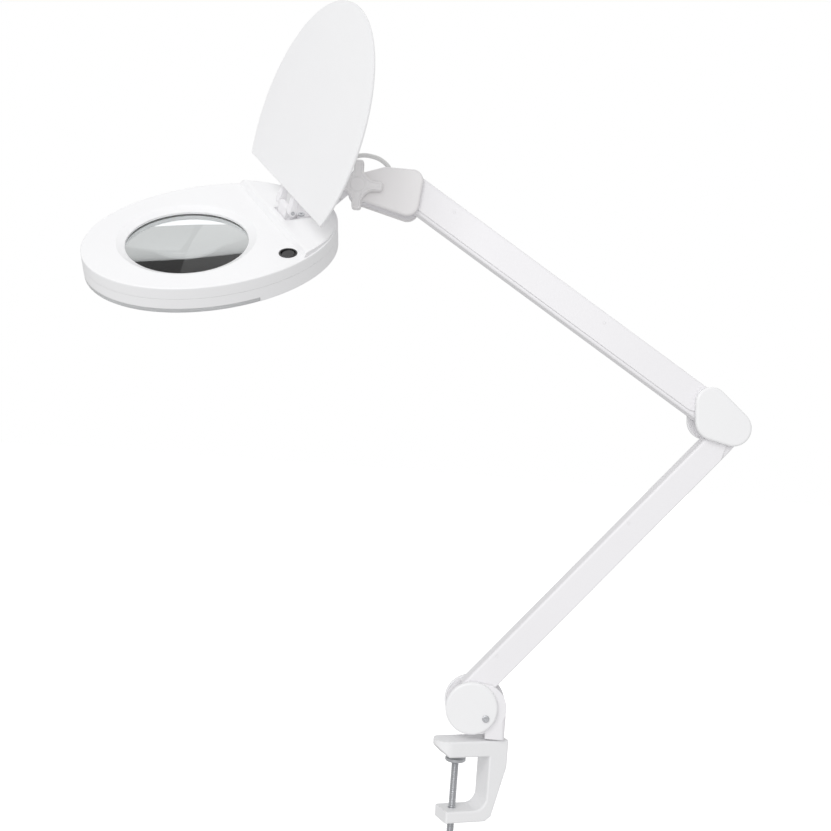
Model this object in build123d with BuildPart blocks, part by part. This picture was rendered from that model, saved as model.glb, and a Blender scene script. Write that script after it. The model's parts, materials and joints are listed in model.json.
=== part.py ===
"""Bench magnifying lamp: C-clamp, two covered parallelogram arms, ring-light head with a lid.

Millimetres, +Z up. The origin is where the clamp screw's axis meets the upper jaw's underside,
+X runs from the jaws' nose to the clamp's spine, and the lamp reaches back over -X.
"""
import os
from math import cos, pi, radians, sin, tan

from build123d import *

os.makedirs("parts", exist_ok=True)

# --- driving dimensions: clamp ---
CLAMP_TOP = 17.0  # upper jaw's thickness
JAW_GAP = 57.0  # between the jaws
JAW_FLOOR = 69.5  # depth of the clamp's underside
NOSE_REACH = 26.0  # screw axis to the upper jaw's nose
SPINE_IN, SPINE_OUT = 33.0, 54.5  # inner and outer face of the spine
CLAMP_HALF = 15.5  # half width of the casting
SWIVEL_X = 44.0  # screw axis to swivel axis
POST_R, BUSH_R = 6.0, 8.0
SCREW_R, SCREW_PITCH = 4.0, 2.0
PAD_R, PAD_DROP, PAD_THICK = 11.0, 3.6, 3.5
FIT = 0.05  # radial clearance of a running fit
LOOSE = 0.4  # clearance of an open pivot

# --- driving dimensions: arms, as (x, height) in the arm plane, from the swivel axis ---
CLAMP_TURN = 22.0  # the arms are swung this far from the clamp's own axis
DISC = (-28.0, 51.0)  # centre of the base discs
ELBOW = (215.0, 382.0)  # centre of the elbow covers
KNOB = (-191.0, 596.0)  # tilt axis at the head end
LOWER_ANGLE, UPPER_ANGLE = 49.6, 32.0  # slope of each arm above the horizontal
LOWER_LENGTH, UPPER_LENGTH = 404.0, 414.0  # pivot to pivot
LINK = 16.0  # spacing of each arm's two pivots
OUTER_HALF, OUTER_WALL = 15.0, 1.5
INNER_HALF, INNER_WALL = 13.1, 1.4
LUG_HALF = 11.2
CHEEK_IN, CHEEK_OUT, CAP_OUT = 15.6, 18.4, 24.0
PIN_R, TRUNNION_R = 2.5, 3.0
LOWER_LOW, LOWER_HIGH = -19.0, 8.5  # lower channel's edges from its pivot line
UPPER_LOW, UPPER_HIGH = -18.0, 13.0
INNER_LOW, INNER_HIGH = -8.0, 6.5
OUTER_TAB, INNER_TAB = 8.5, 6.3  # round ends about the pivots

# --- driving dimensions: head, in its own plane, from the centre of the lens ---
LENS_R = 63.5
HEAD_LONG, HEAD_WIDE = 136.0, 105.0  # half axes of the oval
HEAD_SHIFT = 27.6  # oval's centre behind the lens
DECK, RIDGE_TOP, HEAD_FLOOR, SPLIT = 4.5, 8.8, -24.0, -8.0
SHELL = 2.4
RIDGE_X, RIDGE_FLAT, RIDGE_TAIL = 96.8, 4.0, 149.0
GLOW_END, GLOW_TOP = 38.0, -19.0  # diffuser: rear end and upper edge
LID_EDGE, LID_LOW, LID_HIGH = 92.0, 5.3, 7.8
LID_PIVOT = (111.5, 15.7)
LID_OPEN = 115.0
SWITCH = (82.0, -74.0)
SWITCH_R = 9.5
NECK_FOOT = 151.0  # where the neck axis meets the deck
NECK_LEAN, NECK_RISE, HEAD_SWIVEL = 31.7, 44.4, 46.2
NECK_REACH, NECK_OFFSET = 44.6, 12.4  # knob to deck along the neck axis, and off it


def write(sub, label):
    """Label a finished piece and write its STEP file."""
    sub.part.label = label
    export_step(sub.part, f"parts/{label}.step")


def arm_plane(point, angle=0.0):
    """The arms' plane, moved to a point of it and turned: x along the arm, z towards the near side."""
    return Plane(ARM.location * Location((*point, 0), (0, 0, angle)))


def shift(point, dx, dy):
    """A point moved by dx along the arm plane's x and dy up."""
    return (point[0] + dx, point[1] + dy)


def hull(*circles):
    """The shape of a belt drawn tight round circles (x, y, radius), in the current sketch."""
    for x, y, radius in circles:
        with Locations((x, y)):
            Circle(radius)
    make_hull()


def belt(plane, amount, *circles, both=False):
    """Add to the current part a plate shaped like a belt drawn round circles (x, y, radius)."""
    with BuildSketch(plane) as face:
        hull(*circles)
    extrude(face.sketch, amount=amount, both=both)


def cheeks(*circles):
    """Add a pair of plates outside the channels, one on each side of the arm plane."""
    for side in (-1, 1):
        belt(ARM.offset(side * CHEEK_IN), side * (CHEEK_OUT - CHEEK_IN), *circles)


def drill(*holes, plane=None):
    """Cut round holes (x, y, radius) square through everything, across the arm plane or another."""
    with BuildSketch(plane or ARM) as face:
        for x, y, radius in holes:
            with Locations((x, y)):
                Circle(radius)
    extrude(face.sketch, amount=HEAD_LONG, both=True, mode=Mode.SUBTRACT)


def outer_face(sub, plane, side):
    """The face of a part furthest out on one side of a plane."""
    return sub.faces().sort_by(Axis(plane.origin, plane.z_dir))[-1 if side > 0 else 0]


ARM = Plane(
    origin=(SWIVEL_X, 0, 0),
    x_dir=(cos(radians(CLAMP_TURN)), -sin(radians(CLAMP_TURN)), 0),
    z_dir=(-sin(radians(CLAMP_TURN)), -cos(radians(CLAMP_TURN)), 0),
)

# Pivots: 1 is each arm's channel, 2 its link, on a line LINK long.
BASE_1 = shift(DISC, -14.5, 7.1)
BASE_2 = shift(BASE_1, LINK, 0)
LOWER = arm_plane(BASE_1, LOWER_ANGLE)
LOWER_LINK = arm_plane(BASE_2, LOWER_ANGLE)
ELBOW_1 = shift(
    BASE_1, LOWER_LENGTH * cos(radians(LOWER_ANGLE)), LOWER_LENGTH * sin(radians(LOWER_ANGLE))
)
ELBOW_2 = shift(ELBOW_1, LINK, 0)
WRIST_1 = shift(KNOB, 50.0, 12.0)
WRIST_2 = shift(WRIST_1, 0, -LINK)
UPPER = arm_plane(WRIST_1, -UPPER_ANGLE)
UPPER_LINK = arm_plane(WRIST_2, -UPPER_ANGLE)
ELBOW_3 = shift(
    WRIST_1, UPPER_LENGTH * cos(radians(UPPER_ANGLE)), -UPPER_LENGTH * sin(radians(UPPER_ANGLE))
)
ELBOW_4 = shift(ELBOW_3, 0, -LINK)

# Neck axis: NECK's z runs up along it to the wrist, from the point where it meets the deck.
along = (cos(radians(NECK_RISE)), sin(radians(NECK_RISE)))
NECK_POINT = shift(
    KNOB,
    -NECK_OFFSET * along[1] - NECK_REACH * along[0],
    NECK_OFFSET * along[0] - NECK_REACH * along[1],
)
neck_frame = arm_plane(NECK_POINT, NECK_RISE).location
NECK = Plane(neck_frame * Location((0, 0, 0), (0, 90, 0)))
head_frame = (
    neck_frame
    * Location((0, 0, 0), (HEAD_SWIVEL, 0, 0))
    * Location((0, 0, 0), (0, 0, -NECK_LEAN))
    * Location((0, 0, 0), (-90, 0, 0))
    * Location((-NECK_FOOT, 0, -DECK))
)
HEAD = Plane(head_frame)  # x towards the wrist, y to the far side, z out of the upper side
PROFILE = Plane(HEAD.origin, x_dir=HEAD.x_dir, z_dir=-HEAD.y_dir)  # the head's x and z


# --- clamp -------------------------------------------------------------------------------------
# C-shaped casting: round nose, bevelled under the tip, and a back that tapers towards the foot.
NOSE_BEVEL = NOSE_REACH / 2
BORE_END = -9.0
with BuildPart() as clamp_body:
    with BuildSketch(Plane.XZ):
        with BuildLine():
            Polyline(
                (SPINE_IN, NOSE_BEVEL - JAW_GAP),
                (SPINE_IN, 0),
                (-NOSE_BEVEL, 0),
                (-NOSE_REACH, CLAMP_TOP - 5),
                (-NOSE_REACH, CLAMP_TOP),
                (SPINE_OUT, CLAMP_TOP),
                (SPINE_OUT, BORE_END - 3),
                (SPINE_IN + 7, 5 - JAW_FLOOR),
                (SPINE_IN, -JAW_FLOOR),
                (-NOSE_BEVEL, -JAW_FLOOR),
                (-NOSE_BEVEL, -JAW_GAP),
                (SPINE_IN - NOSE_BEVEL, -JAW_GAP),
            )
            RadiusArc((SPINE_IN - NOSE_BEVEL, -JAW_GAP), (SPINE_IN, NOSE_BEVEL - JAW_GAP), -NOSE_BEVEL)
        make_face()
    extrude(amount=CLAMP_HALF, both=True)
    fillet(clamp_body.faces().sort_by(Axis.Y)[0].edges(), 2)
    fillet(clamp_body.faces().sort_by(Axis.Y)[-1].edges(), 2)
    with BuildSketch(Plane.XY.offset(-JAW_FLOOR)):
        with Locations((CLAMP_HALF - NOSE_REACH, 0)):
            Circle(CLAMP_HALF)
            Rectangle(SPINE_OUT + NOSE_REACH, 2 * CLAMP_HALF, align=(Align.MIN, Align.CENTER))
    extrude(amount=JAW_FLOOR + CLAMP_TOP, mode=Mode.INTERSECT)
    with Locations((SWIVEL_X, 0, CLAMP_TOP)):
        Hole(BUSH_R, CLAMP_TOP - BORE_END)
    with Locations((0, 0, -JAW_GAP)):
        Hole(SCREW_R + FIT, JAW_FLOOR - JAW_GAP)
write(clamp_body, "clamp_body")

FLANGE_R, FLANGE = 10.3, 1.2
with BuildPart() as post_bush:
    with BuildSketch(Plane.XY.offset(CLAMP_TOP)):
        with Locations((SWIVEL_X, 0)):
            Circle(FLANGE_R)
    extrude(amount=FLANGE)
    with BuildSketch(Plane.XY.offset(BORE_END)):
        with Locations((SWIVEL_X, 0)):
            Circle(BUSH_R)
    extrude(amount=CLAMP_TOP - BORE_END)
    with Locations((SWIVEL_X, 0, CLAMP_TOP)):
        Hole(POST_R + FIT)
write(post_bush, "post_bush")

PAD_LOW = -PAD_DROP - PAD_THICK
SOCKET_R = SCREW_R - 1
with BuildPart() as pressure_pad:
    with BuildSketch(Plane.XY.offset(PAD_LOW)):
        Circle(PAD_R)
    extrude(amount=PAD_THICK)
    chamfer(pressure_pad.edges().group_by(Axis.Z)[0], 1)
    with BuildSketch(Plane.XY.offset(PAD_LOW)):
        Circle(SOCKET_R)
    extrude(amount=PAD_THICK / 2, mode=Mode.SUBTRACT)
write(pressure_pad, "pressure_pad")

SCREW_FOOT = -JAW_FLOOR - 49
HUB_HEIGHT, HANDLE_R, HANDLE_HALF = 16.0, 2.5, 28.0
HANDLE_Z = SCREW_FOOT + HUB_HEIGHT / 2
with BuildPart() as clamp_screw:
    with BuildSketch(Plane.XY.offset(SCREW_FOOT)):
        Circle(SCREW_R + 3)
    extrude(amount=HUB_HEIGHT)
    fillet(clamp_screw.edges().filter_by(GeomType.CIRCLE), 1.5)
    with BuildSketch(Plane.XY.offset(HANDLE_Z)):
        Circle(SCREW_R)
    extrude(amount=PAD_LOW - LOOSE - HANDLE_Z)
    with BuildSketch(Plane.XY.offset(HANDLE_Z)):
        Circle(SOCKET_R - FIT)
    extrude(amount=PAD_LOW + PAD_THICK / 2 - FIT - HANDLE_Z)
    drill((0, HANDLE_Z, HANDLE_R), plane=Plane.YZ)
write(clamp_screw, "clamp_screw")

with BuildPart() as clamp_handle:
    with BuildSketch(Plane.YZ):
        with Locations((0, HANDLE_Z)):
            Circle(HANDLE_R)
    extrude(amount=HANDLE_HALF, both=True)
    with Locations((-HANDLE_HALF, 0, HANDLE_Z), (HANDLE_HALF, 0, HANDLE_Z)):
        Sphere(1.6 * HANDLE_R)
write(clamp_handle, "clamp_handle")


# --- swivel base -------------------------------------------------------------------------------
WASHER = 0.4
FOOT_Z = CLAMP_TOP + FLANGE + WASHER + 2 * FIT
POST_TOP = CLAMP_TOP + 14
with BuildPart() as swivel_post:
    with BuildSketch(Plane.XY.offset(BORE_END)):
        with Locations((SWIVEL_X, 0)):
            Circle(POST_R)
    extrude(amount=POST_TOP - BORE_END)
    chamfer(swivel_post.edges().group_by(Axis.Z)[0], 1)
write(swivel_post, "swivel_post")

with BuildPart() as swivel_washer:
    with BuildSketch(Plane.XY.offset(FOOT_Z - WASHER)):
        with Locations((SWIVEL_X, 0)):
            Circle(FLANGE_R)
            Circle(POST_R, mode=Mode.SUBTRACT)
    extrude(amount=WASHER)
write(swivel_washer, "swivel_washer")

DISC_R = 28.0
BACK = DISC[0] + 37.5  # the bracket's rear face
BRIDGE_TOP, BRIDGE_DEEP, FOOT_THICK = DISC[1] - 6, 21.0, 6.0
with BuildPart() as base_bracket:
    with BuildSketch(ARM):
        with Locations((BACK, FOOT_Z)):
            Rectangle(BRIDGE_DEEP, BRIDGE_TOP - FOOT_Z, align=(Align.MAX, Align.MIN))
    extrude(amount=CHEEK_OUT, both=True)
    fillet(base_bracket.edges().filter_by(Axis.Z).sort_by(Axis(ARM.origin, ARM.x_dir))[-2:], 4)
    cheeks((*DISC, DISC_R - 2), (*shift(DISC, 11, 0), DISC_R - 1.5))
    belt(ARM, LUG_HALF, (*BASE_2, 6.5), (*shift(DISC, 24, -14), 8), both=True)
    with BuildSketch(Plane.XY.offset(FOOT_Z)):
        with Locations((SWIVEL_X, 0)):
            Circle(FLANGE_R)
    extrude(amount=FOOT_THICK)
    with BuildSketch(Plane.XY.offset(FOOT_Z)):
        with Locations((SWIVEL_X, 0)):
            Circle(POST_R)
    extrude(amount=POST_TOP - FOOT_Z, mode=Mode.SUBTRACT)
    drill((*BASE_1, TRUNNION_R), (*BASE_2, PIN_R))
write(base_bracket, "base_bracket")

CAP_IN, CAP_WALL, CAP_ROUND = CHEEK_OUT + 0.1, 2.0, 2.5


def cover(side, circles, holes=()):
    """A hollow cover with a rounded rim, outside the cheek on one side of the arm plane."""
    plane = ARM.offset(side * CAP_IN)
    with BuildPart() as made:
        with BuildSketch(plane):
            hull(*circles)
        extrude(amount=side * (CAP_OUT - CAP_IN))
        fillet(outer_face(made, ARM, side).edges(), CAP_ROUND)
        with BuildSketch(plane):
            hull(*[(x, y, radius - CAP_WALL) for x, y, radius in circles])
        extrude(amount=side * (CAP_OUT - CAP_IN - CAP_WALL), mode=Mode.SUBTRACT)
        if holes:
            drill(*holes)
    return made


def cross_screw(plane, points, radius, shank):
    """Pan-head screws with crossed slots: heads on the plane's front, shanks behind it."""
    with BuildPart() as made:
        with BuildSketch(plane):
            with Locations(*points):
                Circle(2.2 * radius)
        extrude(amount=radius)
        fillet(outer_face(made, plane, 1).edges(), 0.5 * radius)
        with BuildSketch(plane):
            with Locations(*points):
                Circle(radius)
        extrude(amount=-shank)
        with BuildSketch(plane.offset(radius)):
            with Locations(*points):
                Rectangle(2.4 * radius, 0.5 * radius)
                Rectangle(0.5 * radius, 2.4 * radius)
        extrude(amount=-0.6 * radius, mode=Mode.SUBTRACT)
    return made


def pin(point, radius, half):
    """A plain pin across the arm plane."""
    with BuildPart() as made:
        with BuildSketch(ARM):
            with Locations(point):
                Circle(radius)
        extrude(amount=half, both=True)
    return made


STUD_IN, STUD_HEAD = OUTER_HALF - OUTER_WALL + 0.1, 1.8


def trunnions(point):
    """Two headed studs, one in each cheek, on which a channel's walls turn."""
    with BuildPart() as made:
        for side in (-1, 1):
            with BuildSketch(ARM.offset(side * STUD_IN)):
                with Locations(point):
                    Circle(TRUNNION_R)
            extrude(amount=side * (CHEEK_OUT - STUD_IN))
            with BuildSketch(ARM.offset(side * CHEEK_OUT)):
                with Locations(point):
                    Circle(TRUNNION_R + 2)
            extrude(amount=side * STUD_HEAD)
    return made


DISC_SCREW = shift(DISC, 15.7, -9.5)
DISC_SCREW_R = 1.7
for side, name in ((1, "near"), (-1, "far")):
    write(cover(side, [(*DISC, DISC_R)], [(*DISC_SCREW, DISC_SCREW_R)]), f"base_disc_{name}")
    outward = Plane(ARM.origin + side * CAP_OUT * ARM.z_dir, x_dir=side * ARM.x_dir, z_dir=side * ARM.z_dir)
    place = (side * DISC_SCREW[0], DISC_SCREW[1])
    write(cross_screw(outward, [place], DISC_SCREW_R, CAP_OUT - CHEEK_OUT), f"base_screw_{name}")
write(pin(BASE_2, PIN_R, INNER_HALF), "base_link_pin")
write(trunnions(BASE_1), "base_trunnions")


# --- arms --------------------------------------------------------------------------------------
WEB_START, TAPER = 14.0, 24.0


def channel(plane, length, low, high, half, wall, tab, web, holes):
    """A U of bent sheet steel with a round tab at each end: web is 1 if it closes the upper edge,
    -1 if the lower, and holes are (x, y, radius) across both walls."""
    section = Plane(plane.origin, x_dir=plane.y_dir, z_dir=plane.x_dir)
    with BuildPart() as made:
        with BuildSketch(section.offset(-tab)) as bent:
            with Locations(((low + high) / 2, 0)):
                Rectangle(high - low, 2 * half)
            fillet(bent.vertices().group_by(Axis.X)[-1 if web > 0 else 0], 1.8 * wall)
            with Locations(((low + high) / 2 - web * wall, 0)):
                Rectangle(high - low, 2 * (half - wall), mode=Mode.SUBTRACT)
        extrude(amount=length + 2 * tab)
        with BuildSketch(plane):
            with BuildLine():
                Polyline(
                    (0, tab),
                    (WEB_START, high),
                    (length - WEB_START, high),
                    (length, tab),
                    (length, -tab),
                    (length - TAPER, low),
                    (TAPER, low),
                    (0, -tab),
                    close=True,
                )
            make_face()
            with Locations((0, 0), (length, 0)):
                Circle(tab)
        extrude(amount=half, both=True, mode=Mode.INTERSECT)
        with BuildSketch(plane):
            for end, outward in ((WEB_START, Align.MAX), (length - WEB_START, Align.MIN)):
                with Locations((end, 0)):
                    Rectangle(4 * tab, 4 * tab, align=(outward, Align.CENTER))
        extrude(amount=half - wall, both=True, mode=Mode.SUBTRACT)
        drill(*holes, plane=plane)
    return made


# Springs lie under each channel's web, in pairs, hooked over two cross pins.
SPRING_LINE, SPRING_R, SPRING_GAP, SPRING_WIRE = 3.0, 3.5, 6.0, 1.6
ANCHOR_R, HOOK = 1.5, 14.0
ANCHORS = (62.0, 262.0)
for name, plane, link_plane, length, low, high, loose_end in (
    ("lower", LOWER, LOWER_LINK, LOWER_LENGTH, LOWER_LOW, LOWER_HIGH, LOWER_LENGTH),
    ("upper", UPPER, UPPER_LINK, UPPER_LENGTH, UPPER_LOW, UPPER_HIGH, 0),
):
    tight_end = length - loose_end
    bores = [(x, SPRING_LINE, ANCHOR_R) for x in ANCHORS]
    bores += [(x, 0, TRUNNION_R + FIT) for x in (0, length)]
    outer = channel(plane, length, low, high, OUTER_HALF, OUTER_WALL, OUTER_TAB, 1, bores)
    write(outer, f"{name}_arm_channel")
    bores = [(tight_end, 0, PIN_R + FIT), (loose_end, 0, PIN_R + LOOSE)]
    inner = channel(
        link_plane, length, INNER_LOW, INNER_HIGH, INNER_HALF, INNER_WALL, INNER_TAB, -1, bores
    )
    write(inner, f"{name}_arm_link")
    with BuildPart() as anchors:
        with BuildSketch(plane):
            with Locations(*[(x, SPRING_LINE) for x in ANCHORS]):
                Circle(ANCHOR_R)
        extrude(amount=OUTER_HALF, both=True)
    write(anchors, f"{name}_spring_pins")
    with BuildPart() as springs:
        for side in (-1, 1):
            middle = plane.offset(side * SPRING_GAP)
            with BuildSketch(middle):
                for x, inward in zip(ANCHORS, (Align.MIN, Align.MAX)):
                    with Locations((x, SPRING_LINE)):
                        Circle(ANCHOR_R + SPRING_WIRE)
                        Rectangle(HOOK, SPRING_WIRE, align=(inward, Align.CENTER))
                        Circle(ANCHOR_R + FIT, mode=Mode.SUBTRACT)
            extrude(amount=SPRING_WIRE / 2, both=True)
            start = middle.from_local_coords((ANCHORS[0] + HOOK, SPRING_LINE, 0))
            with BuildSketch(Plane(start, z_dir=plane.x_dir)):
                Circle(SPRING_R)
            extrude(amount=ANCHORS[1] - ANCHORS[0] - 2 * HOOK)
    write(springs, f"{name}_springs")


# --- elbow -------------------------------------------------------------------------------------
TRIM = 1.5  # a cheek lies this far inside its cover's outline


def around(centre, *circles):
    """Circles given as (dx, dy, radius) from a point of the arm plane."""
    return [(*shift(centre, dx, dy), radius) for dx, dy, radius in circles]


LUG_R = 6.2
elbow_outline = around(ELBOW, (-13, 13, 17), (12, -12, 19.5), (-9, -7, 19.5))
(elbow_bridge,) = around(ELBOW, (13, 5, 6.5))
with BuildPart() as elbow_core:
    cheeks(*[(x, y, radius - TRIM) for x, y, radius in elbow_outline])
    belt(ARM, LUG_HALF, (*ELBOW_4, LUG_R), (*ELBOW_2, LUG_R), elbow_bridge, both=True)
    belt(ARM, CHEEK_IN, elbow_bridge, both=True)
    drill((*ELBOW_1, TRUNNION_R), (*ELBOW_3, TRUNNION_R), (*ELBOW_2, PIN_R), (*ELBOW_4, PIN_R))
write(elbow_core, "elbow_core")
for side, name in ((1, "near"), (-1, "far")):
    write(cover(side, elbow_outline), f"elbow_cover_{name}")
write(trunnions(ELBOW_1), "elbow_lower_trunnions")
write(trunnions(ELBOW_3), "elbow_upper_trunnions")
write(pin(ELBOW_2, PIN_R, INNER_HALF), "elbow_lower_pin")
write(pin(ELBOW_4, PIN_R, INNER_HALF), "elbow_upper_pin")


# --- wrist -------------------------------------------------------------------------------------
EAR_IN, HUB_R, BOLT_R = 9.4, 12.0, 4.0
CABLE_R, GLAND_R, GLAND_DEEP = 2.4, 4.0, 8.0
wrist_outline = around(KNOB, (0, 0, 13), (29, 10, 13), (57, 11, 11.6), (53, -14, 13))
ear_outline = around(KNOB, (0, 0, HUB_R), (25, 3, 13))
(wrist_bridge,) = around(KNOB, (32.5, 3, 5.5))
CABLE_START = shift(KNOB, 32.5, 16)  # top of the bridge
with BuildPart() as wrist_core:
    with BuildSketch(ARM):
        with Locations(CABLE_START):
            Rectangle(10.5, 26, align=(Align.CENTER, Align.MAX))
    extrude(amount=CHEEK_IN, both=True)
    cheeks(*[(x, y, radius - TRIM) for x, y, radius in wrist_outline])
    belt(ARM, LUG_HALF, (*WRIST_2, LUG_R), wrist_bridge, both=True)
    for side in (-1, 1):
        belt(ARM.offset(side * EAR_IN), side * (CHEEK_IN - EAR_IN), *ear_outline)
    gland_seat = Plane(ARM.from_local_coords((*CABLE_START, 0)), z_dir=(0, 0, 1))
    with BuildSketch(gland_seat):
        Circle(GLAND_R - 1)
    extrude(amount=-GLAND_DEEP, mode=Mode.SUBTRACT)
    drill((*KNOB, BOLT_R), (*WRIST_1, TRUNNION_R), (*WRIST_2, PIN_R))
write(wrist_core, "wrist_core")
for side, name in ((1, "near"), (-1, "far")):
    write(cover(side, wrist_outline, [(*KNOB, BOLT_R)]), f"wrist_shell_{name}")
write(trunnions(WRIST_1), "wrist_trunnions")
write(pin(WRIST_2, PIN_R, INNER_HALF), "wrist_link_pin")

BOLT_HEAD, KNOB_IN, BOLT_GRIP = 4.0, CAP_OUT + 1, 6.0
PIVOT = arm_plane(KNOB)
with BuildPart() as tilt_bolt:
    with BuildSketch(PIVOT.offset(-CAP_OUT)):
        Circle(BOLT_R + 4)
    extrude(amount=-BOLT_HEAD)
    fillet(outer_face(tilt_bolt, ARM, -1).edges(), 1.2)
    with BuildSketch(PIVOT.offset(-CAP_OUT)):
        Circle(BOLT_R)
    extrude(amount=CAP_OUT + KNOB_IN + BOLT_GRIP)
write(tilt_bolt, "tilt_bolt")

# Four-lobed knob: the lobes taper out of a round hub, with hollows between them.
KNOB_R, KNOB_THICK, LOBE = 26.0, 11.0, 10.0
with BuildPart() as tilt_knob:
    with BuildSketch(PIVOT.offset(KNOB_IN)):
        RectangleRounded(2 * KNOB_R, LOBE, 3)
        RectangleRounded(LOBE, 2 * KNOB_R, 3)
    extrude(amount=KNOB_THICK)
    upright = tilt_knob.edges().filter_by(Axis(ARM.origin, ARM.z_dir))
    middle = PIVOT.offset(KNOB_IN + KNOB_THICK / 2).origin
    fillet(upright.sort_by_distance(middle)[:4], 1.3 * LOBE)
    fillet(outer_face(tilt_knob, ARM, 1).edges(), 1.5)
    with BuildSketch(PIVOT.offset(KNOB_IN)):
        Circle(BOLT_R + FIT)
    extrude(amount=BOLT_GRIP + FIT, mode=Mode.SUBTRACT)
write(tilt_knob, "tilt_knob")

# The flex leaves the bridge between the shells, arches over the fork and ends beside the tilt axis.
CABLE_ROUTE = (
    (32.5, 0, 10),
    (32.5, 0, 26),
    (20, 0, 36),
    (2, 4, 40),
    (-14, 15, 37),
    (-22, 30, 28),
    (-18, 44, 16),
    (-7, 51, 6),
    (0, 47, 0),
    (0, 34, 0),
)
route = [Vector(*ARM.from_local_coords((*shift(KNOB, x, up), -far))) for x, far, up in CABLE_ROUTE]
radii = []
for before, corner, after in zip(route, route[1:], route[2:]):
    turn = (corner - before).get_angle(after - corner)
    run = min((corner - before).length, (after - corner).length)
    radii.append(0.45 * run / tan(radians(turn / 2)))
print("flex arcs, radii in mm:", [round(radius, 1) for radius in radii])
with BuildPart() as head_flex:
    with BuildLine():
        path = FilletPolyline(*route, radius=radii)
    with BuildSketch(Plane(path @ 0, z_dir=path % 0)):
        Circle(CABLE_R)
    sweep()
write(head_flex, "head_flex")
section = pi * CABLE_R**2 * path.length
print("flex:", round(path.length, 1), "mm, volume", round(head_flex.part.volume / section, 3))

with BuildPart() as flex_gland:
    with BuildSketch(gland_seat.offset(-GLAND_DEEP)):
        Circle(GLAND_R - 1)
    extrude(amount=GLAND_DEEP)
    with BuildSketch(gland_seat):
        Circle(GLAND_R)
    extrude(amount=GLAND_DEEP / 2, taper=8)
    with BuildSketch(gland_seat.offset(CABLE_ROUTE[0][2] - shift(CABLE_START, -KNOB[0], -KNOB[1])[1])):
        Circle(CABLE_R)
    extrude(amount=2 * GLAND_DEEP, mode=Mode.SUBTRACT)
write(flex_gland, "flex_gland")

with BuildPart() as flex_boss:
    with BuildSketch(PIVOT.offset(-CAP_OUT - BOLT_HEAD)):
        Circle(BOLT_R + 2)
    extrude(amount=-12, taper=6)
    with BuildSketch(PIVOT.offset(-CABLE_ROUTE[-1][1])):
        Circle(CABLE_R)
    extrude(amount=-20, mode=Mode.SUBTRACT)
write(flex_boss, "flex_boss")


# --- neck --------------------------------------------------------------------------------------
BARREL_R, BARREL_TOP, BARREL_END, NECK_PIN_R = 8.5, -8.0, 22.0, 4.5
HUB_HALF = 9.0


def neck_plane(reach):
    """A plane square to the neck's axis, this far from the tilt axis towards the head."""
    return NECK.offset(NECK_REACH - reach)


with BuildPart() as neck_knuckle:
    belt(PIVOT, HUB_HALF, (0, 0, HUB_R), both=True)
    with BuildSketch(neck_plane(BARREL_TOP)):
        Circle(BARREL_R)
    extrude(amount=BARREL_TOP - BARREL_END)
    fillet(neck_knuckle.faces().sort_by(Axis(NECK.origin, NECK.z_dir))[-1].edges(), 2)
    drill((*KNOB, BOLT_R + FIT))
    with BuildSketch(neck_plane(BARREL_END)):
        Circle(NECK_PIN_R + FIT)
    extrude(amount=BARREL_END - BOLT_R, mode=Mode.SUBTRACT)
write(neck_knuckle, "neck_knuckle")

with BuildPart() as neck_washer:
    with BuildSketch(neck_plane(BARREL_END + WASHER + FIT)):
        Circle(BARREL_R - 0.5)
        Circle(NECK_PIN_R, mode=Mode.SUBTRACT)
    extrude(amount=WASHER)
write(neck_washer, "neck_washer")

BOSS_TOP = BARREL_END + WASHER + FIT
PIN_END = NECK_REACH - 8
with BuildPart() as neck_pin:
    with BuildSketch(neck_plane(PIN_END)):
        Circle(NECK_PIN_R)
    extrude(amount=PIN_END - BOLT_R - 1)
write(neck_pin, "neck_pin")

FOOT_LOW, FOOT_HIGH, FOOT_HALF = DECK + 0.1, DECK + 3.1, 16.0
FOOT_FRONT, FOOT_REAR = 119.0, 157.0
NECK_SCREW_R = 1.6
NECK_SCREWS = [(x, side * y) for x, y in ((124, 11), (146, 12.4)) for side in (-1, 1)]
with BuildPart() as neck_base:
    with BuildSketch(neck_plane(BOSS_TOP)):
        Circle(BARREL_R)
    extrude(amount=BOSS_TOP - NECK_REACH - 2 * BARREL_R)
    with BuildSketch(HEAD.offset(FOOT_LOW)):
        with Locations((FOOT_REAR, 0)):
            Rectangle(4 * FOOT_HALF, 4 * FOOT_HALF)
    extrude(amount=4 * FOOT_HALF, mode=Mode.INTERSECT)
    with BuildSketch(HEAD.offset(FOOT_LOW)):
        with Locations(((FOOT_FRONT + FOOT_REAR) / 2, 0)):
            RectangleRounded(FOOT_REAR - FOOT_FRONT, 2 * FOOT_HALF, 5)
    extrude(amount=FOOT_HIGH - FOOT_LOW)
    drill(*[(x, y, NECK_SCREW_R) for x, y in NECK_SCREWS], plane=HEAD)
    with BuildSketch(neck_plane(BOSS_TOP)):
        Circle(NECK_PIN_R)
    extrude(amount=BOSS_TOP - PIN_END, mode=Mode.SUBTRACT)
write(neck_base, "neck_base")
write(
    cross_screw(HEAD.offset(FOOT_HIGH), NECK_SCREWS, NECK_SCREW_R, FOOT_HIGH - DECK + 6), "neck_screws"
)


# --- head --------------------------------------------------------------------------------------
def oval(inset=0.0):
    """The head's outline, drawn in by an inset, in the current sketch."""
    with Locations((HEAD_SHIFT, 0)):
        Ellipse(HEAD_LONG - inset, HEAD_WIDE - inset)


def ring(bottom, top, inner, outer):
    """Add to the current part a ring about the lens axis, between two heights."""
    with BuildSketch(HEAD.offset(bottom)) as face:
        Circle(outer)
        Circle(inner, mode=Mode.SUBTRACT)
    extrude(face.sketch, amount=top - bottom)


def posts(points, bottom, top, radius, mode=Mode.ADD):
    """Add or cut round posts in the head, between two heights."""
    with BuildSketch(HEAD.offset(bottom)) as face:
        with Locations(*points):
            Circle(radius)
    extrude(face.sketch, amount=top - bottom, mode=mode)


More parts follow.
